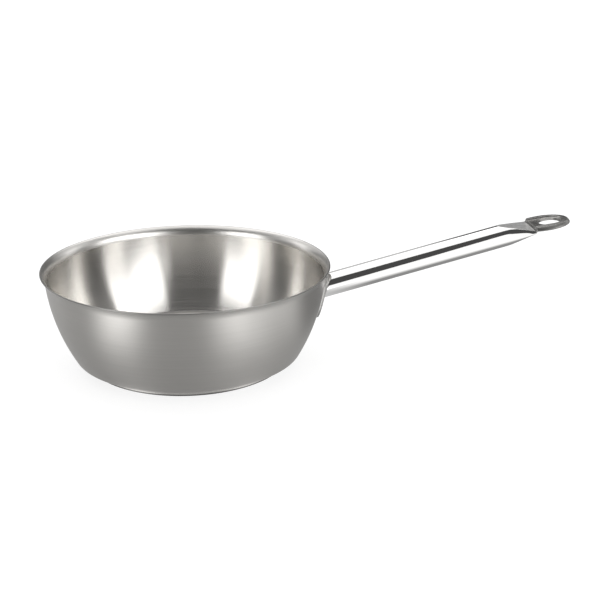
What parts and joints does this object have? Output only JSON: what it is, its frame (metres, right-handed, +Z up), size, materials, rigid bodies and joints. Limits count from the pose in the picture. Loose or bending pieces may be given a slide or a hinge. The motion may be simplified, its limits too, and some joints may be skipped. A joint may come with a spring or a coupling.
{
  "type": "saucier pan",
  "caption": "Stainless steel saucier pan with a flared rim, a bonded heat-spreading base and a polished tube handle ending in a hanging hole.",
  "frame": {"origin": "the centre of the base's underside, with the pan level", "axes": "+Z up, +X out along the handle, rising towards its tip"},
  "size_m": [0.3756, 0.2, 0.092],
  "materials": {
    "bowl_steel": "satin, circular brushed, polished rim",
    "core_metal": "brazed, matte",
    "handle_steel": "mirror polished"
  },
  "bodies": {
    "root": {"pan_bowl": "bowl_steel", "base_cap": "bowl_steel", "base_core": "core_metal", "upper_braze_layer": "core_metal", "lower_braze_layer": "core_metal", "handle_flange": "handle_steel", "spot_welds": "handle_steel", "handle_tube": "handle_steel", "handle_weld": "handle_steel"}
  },
  "joints": []
}
